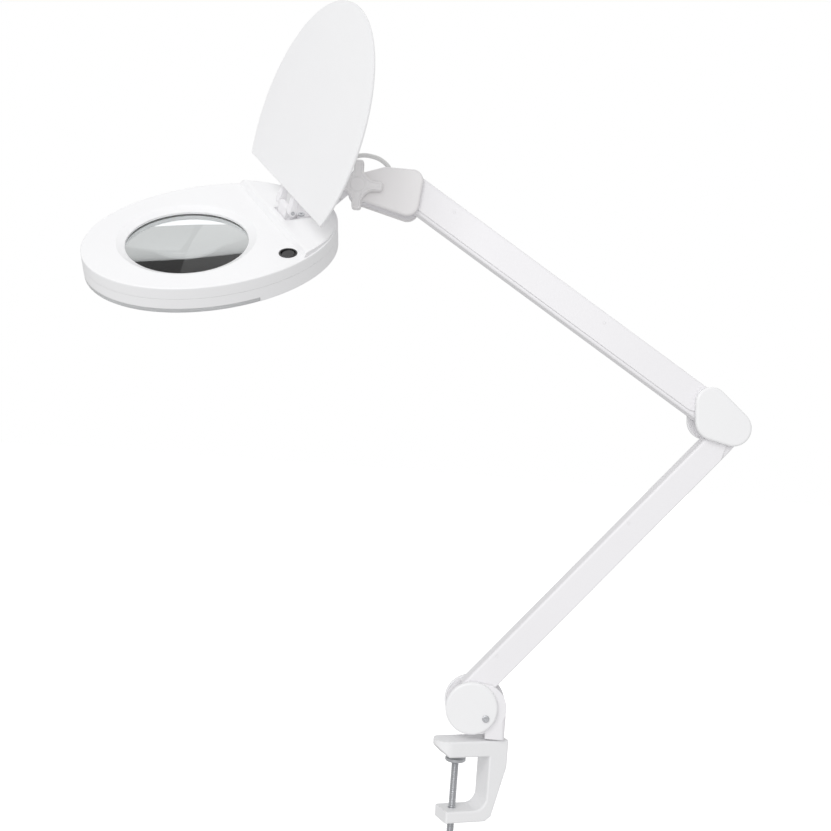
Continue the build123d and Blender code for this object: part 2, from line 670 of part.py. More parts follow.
LENS_AXIS = Axis(HEAD.origin, HEAD.z_dir)
SEAT_R, LIP_LOW, SEAT_WALL, SEAT_LOW = LENS_R + 2.5, -2.3, 2.0, -11.0
BEZEL_R = LENS_R + 8.5
HINGE_HALF, HINGE_FRONT, HINGE_REAR = 10.0, 104.0, 119.0
BOARD_TOP, BOARD_THICK, BOARD_IN, BOARD_OUT = -9.4, 1.6, 75.0, 97.0
LED_RADII, LED_SIZE, LED_THICK = (81.0, 91.0), 4.0, 1.2
board_posts = [
    (86 * cos(radians(angle)), 86 * sin(radians(angle))) for angle in (118, 155, 205, 242)
]
CASE_SCREWS = [(x, side * y) for x, y in ((62, 84), (126, 50)) for side in (-1, 1)]
CASE_SCREW_R, POST_LOW = 1.5, -14.0
BEZEL_BODY = SWITCH_R - 0.8

# The ridge behind the lid: steep in front, a long slope behind, cut away round the hinge and neck.
with BuildPart() as ridge:
    with BuildSketch(PROFILE):
        Polygon(
            (RIDGE_X - 4, DECK - 1),
            (RIDGE_X - 4, DECK),
            (RIDGE_X, RIDGE_TOP),
            (RIDGE_X + RIDGE_FLAT, RIDGE_TOP),
            (RIDGE_TAIL, DECK),
            (RIDGE_TAIL, DECK - 1),
            align=None,
        )
    extrude(amount=HEAD_WIDE, both=True)
    fillet(outer_face(ridge, HEAD, 1).edges().filter_by(Axis(HEAD.origin, HEAD.y_dir)), 1)
    with BuildSketch(HEAD):
        with Locations((HINGE_FRONT, 0)):
            Rectangle(HEAD_LONG, 2 * FOOT_HALF + 0.6, align=(Align.MIN, Align.CENTER))
    extrude(amount=2 * RIDGE_TOP, mode=Mode.SUBTRACT)
    with BuildSketch(HEAD):
        oval(2)
    extrude(amount=2 * RIDGE_TOP, mode=Mode.INTERSECT)

with BuildPart() as top_housing:
    with BuildSketch(HEAD.offset(SPLIT)):
        oval()
    extrude(amount=DECK - SPLIT)
    fillet(top_housing.edges().filter_by(GeomType.ELLIPSE).group_by(LENS_AXIS)[-1], 1.2)
    add(ridge.part)
    with BuildSketch(HEAD.offset(SPLIT)):
        oval(SHELL)
    extrude(amount=DECK - SHELL - SPLIT, mode=Mode.SUBTRACT)
    ring(SEAT_LOW, DECK, LENS_R - 1, SEAT_R + SEAT_WALL)
    posts(board_posts, BOARD_TOP, DECK - 1, 3)
    posts(CASE_SCREWS, POST_LOW, DECK - 1, 3.5)
    posts(CASE_SCREWS, POST_LOW, -2, CASE_SCREW_R, Mode.SUBTRACT)
    with BuildSketch(PROFILE):
        Polygon(
            (0, 2 * SEAT_LOW),
            (SEAT_R, 2 * SEAT_LOW),
            (SEAT_R, LIP_LOW),
            (LENS_R, LIP_LOW),
            (LENS_R, 0),
            (BEZEL_R, DECK),
            (BEZEL_R, 2 * DECK),
            (0, 2 * DECK),
            align=None,
        )
    revolve(axis=LENS_AXIS, mode=Mode.SUBTRACT)
    posts([SWITCH], 0, 2 * DECK, BEZEL_BODY, Mode.SUBTRACT)
    posts(NECK_SCREWS, 0, 2 * DECK, NECK_SCREW_R, Mode.SUBTRACT)
write(top_housing, "top_housing")

COLLAR_IN, COLLAR_WALL = SEAT_R + SEAT_WALL + 0.2, 2.4
BOSS_R, HEAD_RECESS = 4.5, 2.5
with BuildPart() as bottom_housing:
    with BuildSketch(HEAD.offset(HEAD_FLOOR)):
        oval()
    extrude(amount=SPLIT - FIT - HEAD_FLOOR)
    fillet(bottom_housing.edges().filter_by(GeomType.ELLIPSE).group_by(LENS_AXIS)[0], 1.2)
    with BuildSketch(HEAD.offset(HEAD_FLOOR + SHELL)):
        oval(SHELL)
    extrude(amount=-HEAD_FLOOR, mode=Mode.SUBTRACT)
    with BuildSketch(HEAD.offset(HEAD_FLOOR)):
        with Locations((GLOW_END, 0)):
            Rectangle(2 * HEAD_LONG, 2 * HEAD_LONG, align=(Align.MAX, Align.CENTER))
    extrude(amount=GLOW_TOP - HEAD_FLOOR, mode=Mode.SUBTRACT)
    with BuildSketch(HEAD.offset(HEAD_FLOOR)):
        with Locations((GLOW_END, 0)):
            Rectangle(SHELL, 2 * (HEAD_WIDE - 4), align=(Align.MIN, Align.CENTER))
    extrude(amount=SPLIT - FIT - HEAD_FLOOR)
    ring(HEAD_FLOOR, SPLIT - FIT, COLLAR_IN, COLLAR_IN + COLLAR_WALL)
    posts(CASE_SCREWS, HEAD_FLOOR, POST_LOW - FIT, BOSS_R)
    posts(CASE_SCREWS, HEAD_FLOOR, 0, CASE_SCREW_R, Mode.SUBTRACT)
    posts(CASE_SCREWS, HEAD_FLOOR, HEAD_FLOOR + HEAD_RECESS, 2.4 * CASE_SCREW_R, Mode.SUBTRACT)
    posts([(0, 0)], HEAD_FLOOR, 0, COLLAR_IN, Mode.SUBTRACT)
write(bottom_housing, "bottom_housing")

RECESS = Plane(HEAD.from_local_coords((0, 0, HEAD_FLOOR + HEAD_RECESS)), x_dir=HEAD.x_dir, z_dir=-HEAD.z_dir)
write(
    cross_screw(RECESS, [(x, -y) for x, y in CASE_SCREWS], CASE_SCREW_R, -8 - HEAD_FLOOR - HEAD_RECESS),
    "case_screws",
)

GLASS, GLOW_IN = 1.8, COLLAR_IN + COLLAR_WALL + 0.1
with BuildPart() as diffuser:
    with BuildSketch(HEAD.offset(HEAD_FLOOR)):
        oval(0.2)
    extrude(amount=GLOW_TOP - FIT - HEAD_FLOOR)
    fillet(diffuser.edges().filter_by(GeomType.ELLIPSE).group_by(LENS_AXIS)[0], 1.5)
    posts([(0, 0)], HEAD_FLOOR, 0, GLOW_IN, Mode.SUBTRACT)
    with BuildSketch(HEAD.offset(HEAD_FLOOR + GLASS)):
        oval(0.2 + GLASS)
        Circle(GLOW_IN + GLASS, mode=Mode.SUBTRACT)
    extrude(amount=GLOW_TOP - HEAD_FLOOR, mode=Mode.SUBTRACT)
    with BuildSketch(HEAD.offset(HEAD_FLOOR)):
        with Locations((GLOW_END - 0.2, 0)):
            Rectangle(2 * HEAD_LONG, 2 * HEAD_LONG, align=(Align.MIN, Align.CENTER))
    extrude(amount=GLOW_TOP - HEAD_FLOOR, mode=Mode.SUBTRACT)
write(diffuser, "diffuser")

LENS_EDGE_R, LENS_HIGH, LENS_LOW, BULGE = SEAT_R - 0.4, -3.0, -7.0, 5.0
with BuildPart() as lens:
    with BuildSketch(PROFILE):
        with BuildLine():
            upper = ThreePointArc(
                (-LENS_EDGE_R, LENS_HIGH), (0, LENS_HIGH + BULGE), (LENS_EDGE_R, LENS_HIGH)
            )
            lower = ThreePointArc(
                (-LENS_EDGE_R, LENS_LOW), (0, LENS_LOW - BULGE), (LENS_EDGE_R, LENS_LOW)
            )
            Line(upper @ 0, lower @ 0)
            Line(upper @ 1, lower @ 1)
        make_face()
        with Locations((0, 0)):
            Rectangle(LENS_EDGE_R, 2 * HEAD_LONG, align=(Align.MAX, Align.CENTER), mode=Mode.SUBTRACT)
    revolve(axis=LENS_AXIS)
write(lens, "lens")

with BuildPart() as lens_retainer:
    ring(LENS_LOW - 3, LENS_LOW - 0.5, LENS_R + 0.8, SEAT_R)
write(lens_retainer, "lens_retainer")

with BuildPart() as led_board:
    ring(BOARD_TOP - BOARD_THICK, BOARD_TOP, BOARD_IN, BOARD_OUT)
    with BuildSketch(HEAD):
        with Locations((GLOW_END - 2, 0)):
            Rectangle(2 * HEAD_LONG, 2 * HEAD_LONG, align=(Align.MIN, Align.CENTER))
    extrude(amount=2 * BOARD_TOP, mode=Mode.SUBTRACT)
write(led_board, "led_board")

with BuildPart() as leds:
    for radius in LED_RADII:
        with BuildSketch(HEAD.offset(BOARD_TOP - BOARD_THICK)):
            with PolarLocations(radius, 24, start_angle=75, angular_range=210, endpoint=True):
                Rectangle(LED_SIZE, LED_SIZE)
        extrude(amount=-LED_THICK)
write(leds, "leds")

DRIVER = (100.0, 0.0)
with BuildPart() as led_driver:
    with BuildSketch(HEAD.offset(HEAD_FLOOR + SHELL)):
        with Locations(DRIVER):
            Rectangle(44, 64)
    extrude(amount=13)
    fillet(led_driver.edges().filter_by(LENS_AXIS), 2)
write(led_driver, "led_driver")


# --- switch ------------------------------------------------------------------------------------
ROCKER_R, WELL_R, BODY_LOW, FLANGE_TOP, ROCK = 7.0, 7.8, -12.0, DECK + 0.5, 6.0
WELL_LOW = -2.5
ROCK_AXIS = Plane(HEAD.from_local_coords((*SWITCH, 0.8)), x_dir=HEAD.x_dir, z_dir=HEAD.z_dir)
ROCKER = Plane(ROCK_AXIS.location * Location((0, 0, 0), (0, -ROCK, 0)))
ROCK_SHAFT = Plane(ROCK_AXIS.origin, x_dir=HEAD.x_dir, z_dir=HEAD.y_dir)
with BuildPart() as switch_body:
    posts([SWITCH], BODY_LOW, DECK, BEZEL_BODY)
    posts([SWITCH], DECK, FLANGE_TOP, SWITCH_R)
    posts([SWITCH], WELL_LOW, 2 * DECK, WELL_R, Mode.SUBTRACT)
    drill((0, 0, 1 + FIT), plane=ROCK_SHAFT)
write(switch_body, "switch_body")

with BuildPart() as switch_rocker:
    with BuildSketch(ROCKER.offset(-2)):
        Circle(ROCKER_R)
    extrude(amount=2 + 3.3)
    fillet(outer_face(switch_rocker, ROCKER, 1).edges(), 0.6)
    with BuildSketch(ROCK_SHAFT):
        Circle(1)
    extrude(amount=BEZEL_BODY - 0.2, both=True)
write(switch_rocker, "switch_rocker")


# --- lid ---------------------------------------------------------------------------------------
HINGE = Plane(HEAD.from_local_coords((LID_PIVOT[0], 0, LID_PIVOT[1])), x_dir=HEAD.x_dir, z_dir=-HEAD.y_dir)
LID_HEAD = Plane(
    HEAD.location
    * Location((LID_PIVOT[0], 0, LID_PIVOT[1]), (0, LID_OPEN, 0))
    * Location((-LID_PIVOT[0], 0, -LID_PIVOT[1]))
)  # the head's own coordinates, carried round with the lid
LID_PROFILE = Plane(LID_HEAD.origin, x_dir=LID_HEAD.x_dir, z_dir=-LID_HEAD.y_dir)
BARREL, HINGE_PIN_R = 4.2, 2.0
ARM_IN, ARM_OUT = HINGE_HALF + 0.4, HINGE_HALF + 8
with BuildPart() as lid_bracket:
    with BuildSketch(PROFILE):
        Polygon(
            (HINGE_FRONT + 0.2, FOOT_LOW),
            (HINGE_REAR - 0.2, FOOT_LOW),
            (LID_PIVOT[0] + BARREL, LID_PIVOT[1]),
            (LID_PIVOT[0] - BARREL, LID_PIVOT[1]),
            align=None,
        )
        with Locations(LID_PIVOT):
            Circle(BARREL)
    extrude(amount=HINGE_HALF, both=True)
    drill((0, 0, HINGE_PIN_R + FIT), plane=HINGE)
write(lid_bracket, "lid_bracket")

with BuildPart() as lid_pin:
    with BuildSketch(HINGE):
        Circle(HINGE_PIN_R)
    extrude(amount=ARM_OUT + 1, both=True)
write(lid_pin, "lid_pin")

ARM_TOE = (78.0, LID_HIGH + 2.2)
with BuildPart() as lid_arms:
    for side in (-1, 1):
        plane = LID_PROFILE.offset(side * ARM_IN)
        knee = (93, 13.4, 2.6)
        belt(plane, side * (ARM_OUT - ARM_IN), (*LID_PIVOT, BARREL), knee)
        belt(plane, side * (ARM_OUT - ARM_IN), knee, (*ARM_TOE, 2.2))
    drill((0, 0, HINGE_PIN_R), plane=HINGE)
write(lid_arms, "lid_arms")

with BuildPart() as lid_panel:
    with BuildSketch(LID_HEAD.offset(LID_LOW)):
        oval()
        with Locations((LID_EDGE, 0)):
            Rectangle(HEAD_LONG, 2 * HEAD_LONG, align=(Align.MIN, Align.CENTER), mode=Mode.SUBTRACT)
    extrude(amount=LID_HIGH - LID_LOW)
    fillet(outer_face(lid_panel, LID_HEAD, 1).edges(), 1)
write(lid_panel, "lid_panel")
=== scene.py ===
"""Bench magnifying lamp: the looks of its parts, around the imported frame."""
import json
from math import cos, radians, sin

import bmesh
import bpy
import numpy as np
from mathutils import Matrix, Vector


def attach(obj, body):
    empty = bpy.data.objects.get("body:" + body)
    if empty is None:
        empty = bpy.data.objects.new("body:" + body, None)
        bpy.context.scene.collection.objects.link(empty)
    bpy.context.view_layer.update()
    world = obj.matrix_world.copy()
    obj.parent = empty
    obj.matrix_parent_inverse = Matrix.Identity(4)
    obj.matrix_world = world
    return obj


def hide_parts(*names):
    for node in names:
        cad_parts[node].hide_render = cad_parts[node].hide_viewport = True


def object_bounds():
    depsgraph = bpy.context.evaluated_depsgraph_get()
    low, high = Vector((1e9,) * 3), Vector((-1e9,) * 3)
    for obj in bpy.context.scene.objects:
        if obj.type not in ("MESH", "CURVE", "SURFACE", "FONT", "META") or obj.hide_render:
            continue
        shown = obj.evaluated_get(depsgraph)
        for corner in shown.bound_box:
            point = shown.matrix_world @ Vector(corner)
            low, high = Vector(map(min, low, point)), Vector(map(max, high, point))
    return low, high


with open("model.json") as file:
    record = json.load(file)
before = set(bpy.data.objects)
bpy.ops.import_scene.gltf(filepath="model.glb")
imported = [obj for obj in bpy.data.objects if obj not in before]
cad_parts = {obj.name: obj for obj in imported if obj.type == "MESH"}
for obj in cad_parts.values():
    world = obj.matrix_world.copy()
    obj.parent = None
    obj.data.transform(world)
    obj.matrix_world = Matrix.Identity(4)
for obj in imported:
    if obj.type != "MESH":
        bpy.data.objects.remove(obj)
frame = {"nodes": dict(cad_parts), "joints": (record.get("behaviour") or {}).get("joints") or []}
nodes = frame["nodes"]
joints = {joint["name"]: joint for joint in frame["joints"]}
cad_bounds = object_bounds()


# --- camera ------------------------------------------------------------------------------------
# A medium lens at about the elbow's height, looking level and square across the arms, from far
# enough off that the arms show in profile. The camera is rolled, so the lamp leans a little.
camera_data = bpy.data.cameras.new("camera")
camera = bpy.data.objects.new("camera", camera_data)
bpy.context.scene.collection.objects.link(camera)
camera_data.sensor_width = 36.0
camera_data.lens = 52.0
camera_data.clip_end = 30.0
ARMS_TURN, CAMERA_ROLL = radians(22), radians(4.4)  # the arms' turn about the swivel's axis
CAMERA_PLACE = (-0.5464, -1.1636, 0.3575)
look = Vector((sin(ARMS_TURN), cos(ARMS_TURN), 0))
facing = look.to_track_quat("-Z", "Y").to_matrix().to_4x4()
camera.matrix_world = Matrix.Translation(CAMERA_PLACE) @ facing @ Matrix.Rotation(CAMERA_ROLL, 4, "Z")
bpy.context.scene.camera = camera


# --- mesh helpers, first needed by the floor ----------------------------------------------------
def surface(name, points):
    """A smooth mesh from rows of points that each run once round it, as quads between neighbours."""
    rows, columns = points.shape[:2]
    u, v = (
        grid.ravel() for grid in np.meshgrid(np.arange(rows - 1), np.arange(columns), indexing="ij")
    )
    row, next_row, after = u * columns, (u + 1) * columns, (v + 1) % columns
    quads = np.stack((row + v, next_row + v, next_row + after, row + after), 1)
    mesh = bpy.data.meshes.new(name)
    mesh.from_pydata(points.reshape(-1, 3).tolist(), [], quads.tolist())
    mesh.polygons.foreach_set("use_smooth", np.full(len(mesh.polygons), True))
    piece = bpy.data.objects.new(name, mesh)
    bpy.context.scene.collection.objects.link(piece)
    return piece


def circle(steps):
    """Evenly spaced angles once round a circle, without the last, which is the first again."""
    return np.linspace(0, 2 * np.pi, steps + 1)[:-1]


def unit(vector):
    """A vector, or each row of an array of them, at length one."""
    vector = np.asarray(vector, float)
    return vector / np.linalg.norm(vector, axis=-1, keepdims=True)


def finish_mesh(piece, material):
    """Merge doubled points, point the faces outwards and give the piece its material."""
    mesh = bmesh.new()
    mesh.from_mesh(piece.data)
    bmesh.ops.remove_doubles(mesh, verts=mesh.verts, dist=1e-6)
    bmesh.ops.recalc_face_normals(mesh, faces=mesh.faces)
    mesh.to_mesh(piece.data)
    mesh.free()
    piece.data.materials.append(material)
    return piece


# --- floor and light ----------------------------------------------------------------------------
# A matt white floor as wide as a room, which glows a little so that it meets the walls without a
# line. It is hidden from diffuse and glossy rays, so that its glow doesn't light the lamp from
# below. There are three soft boxes: high on the left, low in front, and a weak one above. The room
# itself gives an even white light.
def plain_material(name, colour, roughness):
    """A material with its Principled shader at hand: (material, node tree, shader)."""
    made = bpy.data.materials.new(name)
    made.use_nodes = True
    shader = made.node_tree.nodes["Principled BSDF"]
    shader.inputs["Base Color"].default_value = (*colour, 1)
    shader.inputs["Roughness"].default_value = roughness
    return made, made.node_tree, shader


FLOOR_Z, FLOOR_RADIUS, FLOOR_GLOW = cad_bounds[0][2] - 0.001, 9.0, 0.6
turn = circle(96)
reach = FLOOR_RADIUS * np.linspace(0, 1, 9)[:, None]
floor_points = (reach * np.cos(turn), reach * np.sin(turn), FLOOR_Z + 0 * reach * turn)
floor = surface("floor", np.stack(floor_points, -1))
floor_paper, tree, shader = plain_material("floor_paper", (0.93, 0.93, 0.93), 0.9)
shader.inputs["Emission Color"].default_value = (1, 1, 1, 1)
shader.inputs["Emission Strength"].default_value = FLOOR_GLOW
finish_mesh(floor, floor_paper)
floor.visible_diffuse = floor.visible_glossy = False

world = bpy.data.worlds.new("room")
bpy.context.scene.world = world
world.use_nodes = True
background = world.node_tree.nodes["Background"]
background.inputs["Color"].default_value = (1, 1, 1, 1)
ROOM_LIGHT, ROOM_SEEN = 0.62, 1.0  # the room's light on things, and the brightness of its walls
seen = world.node_tree.nodes.new("ShaderNodeLightPath").outputs["Is Camera Ray"]
level = world.node_tree.nodes.new("ShaderNodeMath")
level.operation = "MULTIPLY_ADD"
level.inputs[1].default_value = ROOM_SEEN - ROOM_LIGHT
level.inputs[2].default_value = ROOM_LIGHT
world.node_tree.links.new(seen, level.inputs[0])
world.node_tree.links.new(level.outputs["Value"], background.inputs["Strength"])
bpy.context.scene.view_settings.view_transform = "Standard"


def soft_box(name, place, aim, size, power):
    """A square area light at place, facing aim."""
    light = bpy.data.lights.new(name, "AREA")
    light.size, light.energy = size, power
    lamp = bpy.data.objects.new(name, light)
    bpy.context.scene.collection.objects.link(lamp)
    direction = (Vector(aim) - Vector(place)).to_track_quat("-Z", "Y").to_matrix().to_4x4()
    lamp.matrix_world = Matrix.Translation(place) @ direction


MIDDLE = (-0.05, 0.0, 0.35)
soft_box("key_light", (-1.9, -1.5, 1.9), MIDDLE, 1.2, 18)
soft_box("front_light", (-1.5, -2.6, 0.7), MIDDLE, 1.6, 20)
soft_box("top_light", (0.1, 0.3, 2.2), MIDDLE, 1.4, 3.5)


# --- painted steel and casting -------------------------------------------------------------------
# The clamp is a sand casting and the arms, brackets and hinge pieces are bent sheet. All are powder
# coated in white with a faint orange peel, and painted a little lighter on edges: a painted highlight.
def group(name, inputs, outputs):
    """An empty shader node group with these sockets: (tree, its input node, its output node)."""
    tree = bpy.data.node_groups.new(name, "ShaderNodeTree")
    for label, kind, value in inputs:
        socket = tree.interface.new_socket(label, in_out="INPUT", socket_type=kind)
        if value is not None:
            socket.default_value = value
    for label, kind in outputs:
        tree.interface.new_socket(label, in_out="OUTPUT", socket_type=kind)
    return tree, tree.nodes.new("NodeGroupInput"), tree.nodes.new("NodeGroupOutput")


def noise(tree, coordinates, scale, detail=3.0):
    """A noise texture on the given coordinates, and its value's socket."""
    texture = tree.nodes.new("ShaderNodeTexNoise")
    texture.inputs["Detail"].default_value = detail
    tree.links.new(coordinates, texture.inputs["Vector"])
    if isinstance(scale, (int, float)):
        texture.inputs["Scale"].default_value = scale
    else:
        tree.links.new(scale, texture.inputs["Scale"])
    return texture.outputs["Fac"]


def maths(tree, operation, *values, clamp=False):
    """A Math node: each value is a number or a socket."""
    node = tree.nodes.new("ShaderNodeMath")
    node.operation, node.use_clamp = operation, clamp
    for socket, value in zip(node.inputs, values):
        if isinstance(value, (int, float)):
            socket.default_value = value
        else:
            tree.links.new(value, socket)
    return node.outputs["Value"]


def blend_colour(tree, amount, first, second):
    """A colour mix: amount is a socket, and each colour a socket or three numbers."""
    node = tree.nodes.new("ShaderNodeMix")
    node.data_type = "RGBA"
    tree.links.new(amount, node.inputs["Factor"])
    for label, value in (("A", first), ("B", second)):
        socket = next(s for s in node.inputs if s.name == label and s.type == "RGBA")
        if isinstance(value, tuple):
            socket.default_value = (*value, 1)
        else:
            tree.links.new(value, socket)
    return next(s for s in node.outputs if s.type == "RGBA")


# Skin: a surface's fine grain, its slow drift in tone, and the smudges that handling leaves.
SMEAR_SCALE, SMEAR_FROM, DRIFT_FROM, DRIFT_GAIN = 38.0, 0.45, 0.35, 0.9
SKIN, skin_in, skin_out = group(
    "skin",
    [
        ("Colour", "NodeSocketColor", (0.8, 0.8, 0.8, 1)),
        ("Shade", "NodeSocketColor", (0.7, 0.7, 0.7, 1)),
        ("Grain Scale", "NodeSocketFloat", 1500.0),
        ("Tone Scale", "NodeSocketFloat", 9.0),
        ("Roughness", "NodeSocketFloat", 0.4),
        ("Smudge", "NodeSocketFloat", 0.08),
    ],
    [("Colour", "NodeSocketColor"), ("Roughness", "NodeSocketFloat"), ("Height", "NodeSocketFloat")],
)
place = SKIN.nodes.new("ShaderNodeTexCoord").outputs["Object"]
grain = noise(SKIN, place, skin_in.outputs["Grain Scale"], 2.0)
tone = noise(SKIN, place, skin_in.outputs["Tone Scale"], 4.0)
smear = noise(SKIN, place, SMEAR_SCALE, 6.0)
smear = maths(SKIN, "SUBTRACT", smear, SMEAR_FROM, clamp=True)
drift = maths(SKIN, "SUBTRACT", tone, DRIFT_FROM, clamp=True)
drift = maths(SKIN, "MULTIPLY", drift, DRIFT_GAIN, clamp=True)
SKIN.links.new(
    blend_colour(SKIN, drift, skin_in.outputs["Colour"], skin_in.outputs["Shade"]),
    skin_out.inputs["Colour"],
)
smudged = maths(SKIN, "MULTIPLY_ADD", smear, skin_in.outputs["Smudge"], skin_in.outputs["Roughness"])
SKIN.links.new(smudged, skin_out.inputs["Roughness"])
SKIN.links.new(grain, skin_out.inputs["Height"])

# Edge: where a bevelled normal departs from the flat one, which is on corners, a noise-broken mask
# for painted edge highlight and shade, and a normal that rounds the corner off.
EDGE_RADIUS, PAINTED_EDGE_SCALE, PAINTED_EDGE_GAIN = 0.0008, 260.0, 6.0
EDGE, edge_in, edge_out = group(
    "edge",
    [("Amount", "NodeSocketFloat", 1.0)],
    [("Mask", "NodeSocketFloat"), ("Normal", "NodeSocketVector")],
)
rounding = EDGE.nodes.new("ShaderNodeBevel")
rounding.samples = 6
rounding.inputs["Radius"].default_value = EDGE_RADIUS
flat = EDGE.nodes.new("ShaderNodeNewGeometry").outputs["Normal"]
facing_dot = EDGE.nodes.new("ShaderNodeVectorMath")
facing_dot.operation = "DOT_PRODUCT"
EDGE.links.new(rounding.outputs["Normal"], facing_dot.inputs[0])
EDGE.links.new(flat, facing_dot.inputs[1])
departure = maths(EDGE, "SUBTRACT", 1.0, facing_dot.outputs["Value"], clamp=True)
# Painted light: edges are picked out, broken up by noise, to be painted lighter or darker as highlight
# and shade.
broken = noise(EDGE, EDGE.nodes.new("ShaderNodeTexCoord").outputs["Object"], PAINTED_EDGE_SCALE, 4.0)
broken = maths(EDGE, "MULTIPLY", departure, maths(EDGE, "MULTIPLY", broken, PAINTED_EDGE_GAIN))
EDGE.links.new(
    maths(EDGE, "MULTIPLY", broken, edge_in.outputs["Amount"], clamp=True), edge_out.inputs["Mask"]
)
EDGE.links.new(rounding.outputs["Normal"], edge_out.inputs["Normal"])


def coated(name, colour, shade, roughness, grain_scale, grain_depth, smudge=0.1, painted_edge_shading=None):
    """A moulded or painted finish: skin colour and grain, and softened edges that, if an edge colour
    is given, are painted in it: a painted highlight where lighter, painted shade where darker.
    grain_depth is in metres."""
    made, tree, shader = plain_material(name, colour, roughness)
    skin = tree.nodes.new("ShaderNodeGroup")
    skin.node_tree = SKIN
    for label, value in (
        ("Colour", (*colour, 1)),
        ("Shade", (*shade, 1)),
        ("Grain Scale", grain_scale),
        ("Roughness", roughness),
        ("Smudge", smudge),
    ):
        skin.inputs[label].default_value = value
    edge = tree.nodes.new("ShaderNodeGroup")
    edge.node_tree = EDGE
    bump = tree.nodes.new("ShaderNodeBump")
    bump.inputs["Strength"].default_value = 1.0
    bump.inputs["Distance"].default_value = grain_depth
    tree.links.new(skin.outputs["Height"], bump.inputs["Height"])
    tree.links.new(edge.outputs["Normal"], bump.inputs["Normal"])
    tree.links.new(bump.outputs["Normal"], shader.inputs["Normal"])
    tinted = skin.outputs["Colour"]
    # Edges painted in the edge colour: a painted highlight on the white finishes, painted shade on the
    # grey one.
    if painted_edge_shading:
        tinted = blend_colour(tree, edge.outputs["Mask"], tinted, painted_edge_shading)
    tree.links.new(tinted, shader.inputs["Base Color"])
    tree.links.new(skin.outputs["Roughness"], shader.inputs["Roughness"])
    return made


def paint(material, *names):
    """Give these CAD nodes a material in place of their plain one."""
    for name in names:
        nodes[name].data.materials.clear()
        nodes[name].data.materials.append(material)


casting_paint = coated(
    "casting_paint",
    (0.91, 0.91, 0.92),
    (0.87, 0.87, 0.88),
    0.42,
    grain_scale=700.0,
    grain_depth=0.00035,
    smudge=0.2,
    # Lighter edges: a painted highlight.
    painted_edge_shading=(0.93, 0.93, 0.92),
)
powder_coat = coated(
    "powder_coat",
    (0.90, 0.89, 0.91),
    (0.86, 0.85, 0.87),
    0.36,
    grain_scale=1100.0,
    grain_depth=0.00012,
    smudge=0.12,
    # Lighter edges: a painted highlight.
    painted_edge_shading=(0.94, 0.94, 0.94),
)
paint(casting_paint, "clamp_body")
paint(
    powder_coat,
    "base_bracket",
    "lower_arm_channel",
    "lower_arm_link",
    "upper_arm_channel",
    "upper_arm_link",
    "elbow_core",
    "wrist_core",
    "neck_knuckle",
    "neck_base",
    "lid_bracket",
    "lid_arms",
    "lower_spring_pins",
    "upper_spring_pins",
)


# --- plated fasteners, pins and posts ------------------------------------------------------------
# Turned and zinc plated steel: fine rings left by the lathe, and a cloudy blue-grey plate over them.
# The wound balance springs and the threaded clamp screw stand for the plain solids of their nodes.
CROSS_SCALE, CLOUD_SCALE, RING_DEPTH = 60, 120.0, 0.00003
DULL, DULL_SHARE, RING_MATT, RING_POLISH = 0.72, 0.7, 0.22, 0.08


def plated(name, colour, roughness, ring_scale):
    """Metal with fine rings along z and cloudy plating."""
    made, tree, shader = plain_material(name, colour, roughness)
    shader.inputs["Metallic"].default_value = 1.0
    where = tree.nodes.new("ShaderNodeTexCoord").outputs["Object"]
    stretch = tree.nodes.new("ShaderNodeMapping")
    stretch.inputs["Scale"].default_value = (CROSS_SCALE, CROSS_SCALE, ring_scale)
    tree.links.new(where, stretch.inputs["Vector"])
    rings = noise(tree, stretch.outputs["Vector"], 1.0, 2.0)
    cloud = noise(tree, where, CLOUD_SCALE, 5.0)
    dull = tuple(DULL * value for value in colour)
    tree.links.new(
        blend_colour(tree, maths(tree, "MULTIPLY", cloud, DULL_SHARE, clamp=True), colour, dull),
        shader.inputs["Base Color"],
    )
    tree.links.new(
        maths(tree, "MULTIPLY_ADD", rings, RING_MATT, roughness - RING_POLISH),
        shader.inputs["Roughness"],
    )
    bump = tree.nodes.new("ShaderNodeBump")
    bump.inputs["Distance"].default_value = RING_DEPTH
    tree.links.new(rings, bump.inputs["Height"])
    tree.links.new(bump.outputs["Normal"], shader.inputs["Normal"])
    return made


zinc = plated("zinc_plate", (0.62, 0.63, 0.65), 0.3, 2600.0)
spring_steel = plated("spring_steel", (0.50, 0.50, 0.52), 0.35, 900.0)
paint(
    zinc,
    "clamp_handle",
    "pressure_pad",
    "swivel_post",
    "base_screw_near",
    "base_screw_far",
    "base_link_pin",
    "base_trunnions",
    "elbow_lower_trunnions",
    "elbow_upper_trunnions",
    "elbow_lower_pin",
    "elbow_upper_pin",
    "wrist_trunnions",
    "wrist_link_pin",
    "tilt_bolt",
    "neck_pin",
    "neck_screws",
    "case_screws",
    "lid_pin",
)


WIRE_SIDES = 6


def tube(name, path, radius):
    """A round wire along a path of points, closed at both ends."""
    path = np.asarray(path, float)
    along = unit(np.gradient(path, axis=0))
    across = [unit(np.cross(along[0], (0.3, 0.5, 0.8)))]
    for direction in along[1:]:
        across.append(unit(across[-1] - direction * np.dot(across[-1], direction)))
    across = np.array(across)
    over = np.cross(along, across)
    turn = circle(WIRE_SIDES)[:, None]
    rings = [
        point + radius * (np.cos(turn) * side + np.sin(turn) * up)
        for point, side, up in zip(path, across, over)
    ]
    ends = [np.repeat(path[end][None], WIRE_SIDES, 0) for end in (0, -1)]
    return surface(name, np.array([ends[0], *rings, ends[1]]))


def merged(*pieces):
    """Several pieces as one mesh, under the first one's name."""
    mesh = bmesh.new()
    for piece in pieces:
        mesh.from_mesh(piece.data)
    mesh.to_mesh(pieces[0].data)
    mesh.free()
    for piece in pieces[1:]:
        bpy.data.objects.remove(piece)
    return pieces[0]


